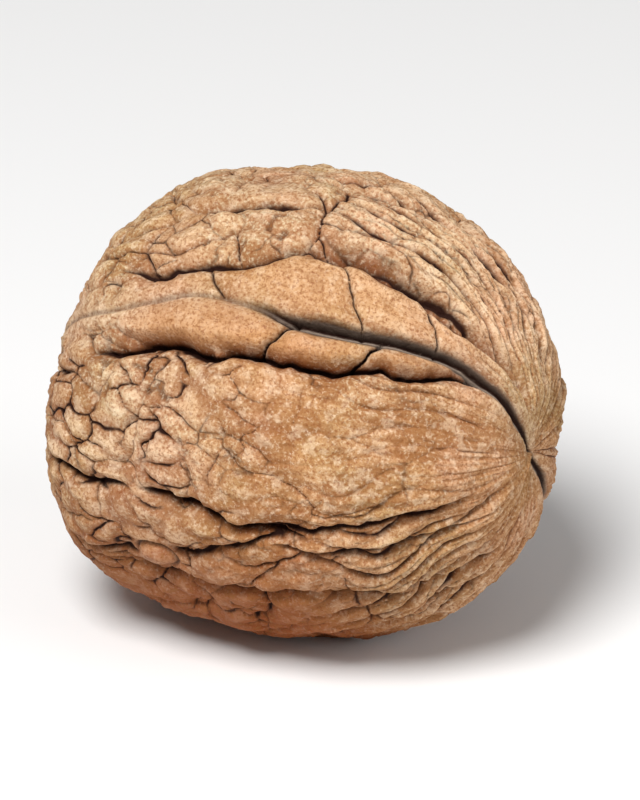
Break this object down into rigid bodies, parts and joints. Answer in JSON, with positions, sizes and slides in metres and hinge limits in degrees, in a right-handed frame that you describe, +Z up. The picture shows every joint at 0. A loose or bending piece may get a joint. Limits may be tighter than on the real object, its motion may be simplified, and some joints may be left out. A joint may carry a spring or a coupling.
{
  "type": "walnut",
  "caption": "Whole walnut in its wrinkled shell, lying on its side with its seam up, the seam gaping slightly at one end.",
  "frame": {"origin": "under the middle of the nut's bounding box, on the ground it rests on", "axes": "+X along the nut to the end where the seam gapes, -Y the front cheek, +Z up, with the seam's upper line above the front cheek"},
  "size_m": [0.0414, 0.0396, 0.0384],
  "materials": {
    "shell": "dry, matt"
  },
  "bodies": {
    "root": {"walnut": "shell"}
  },
  "joints": []
}
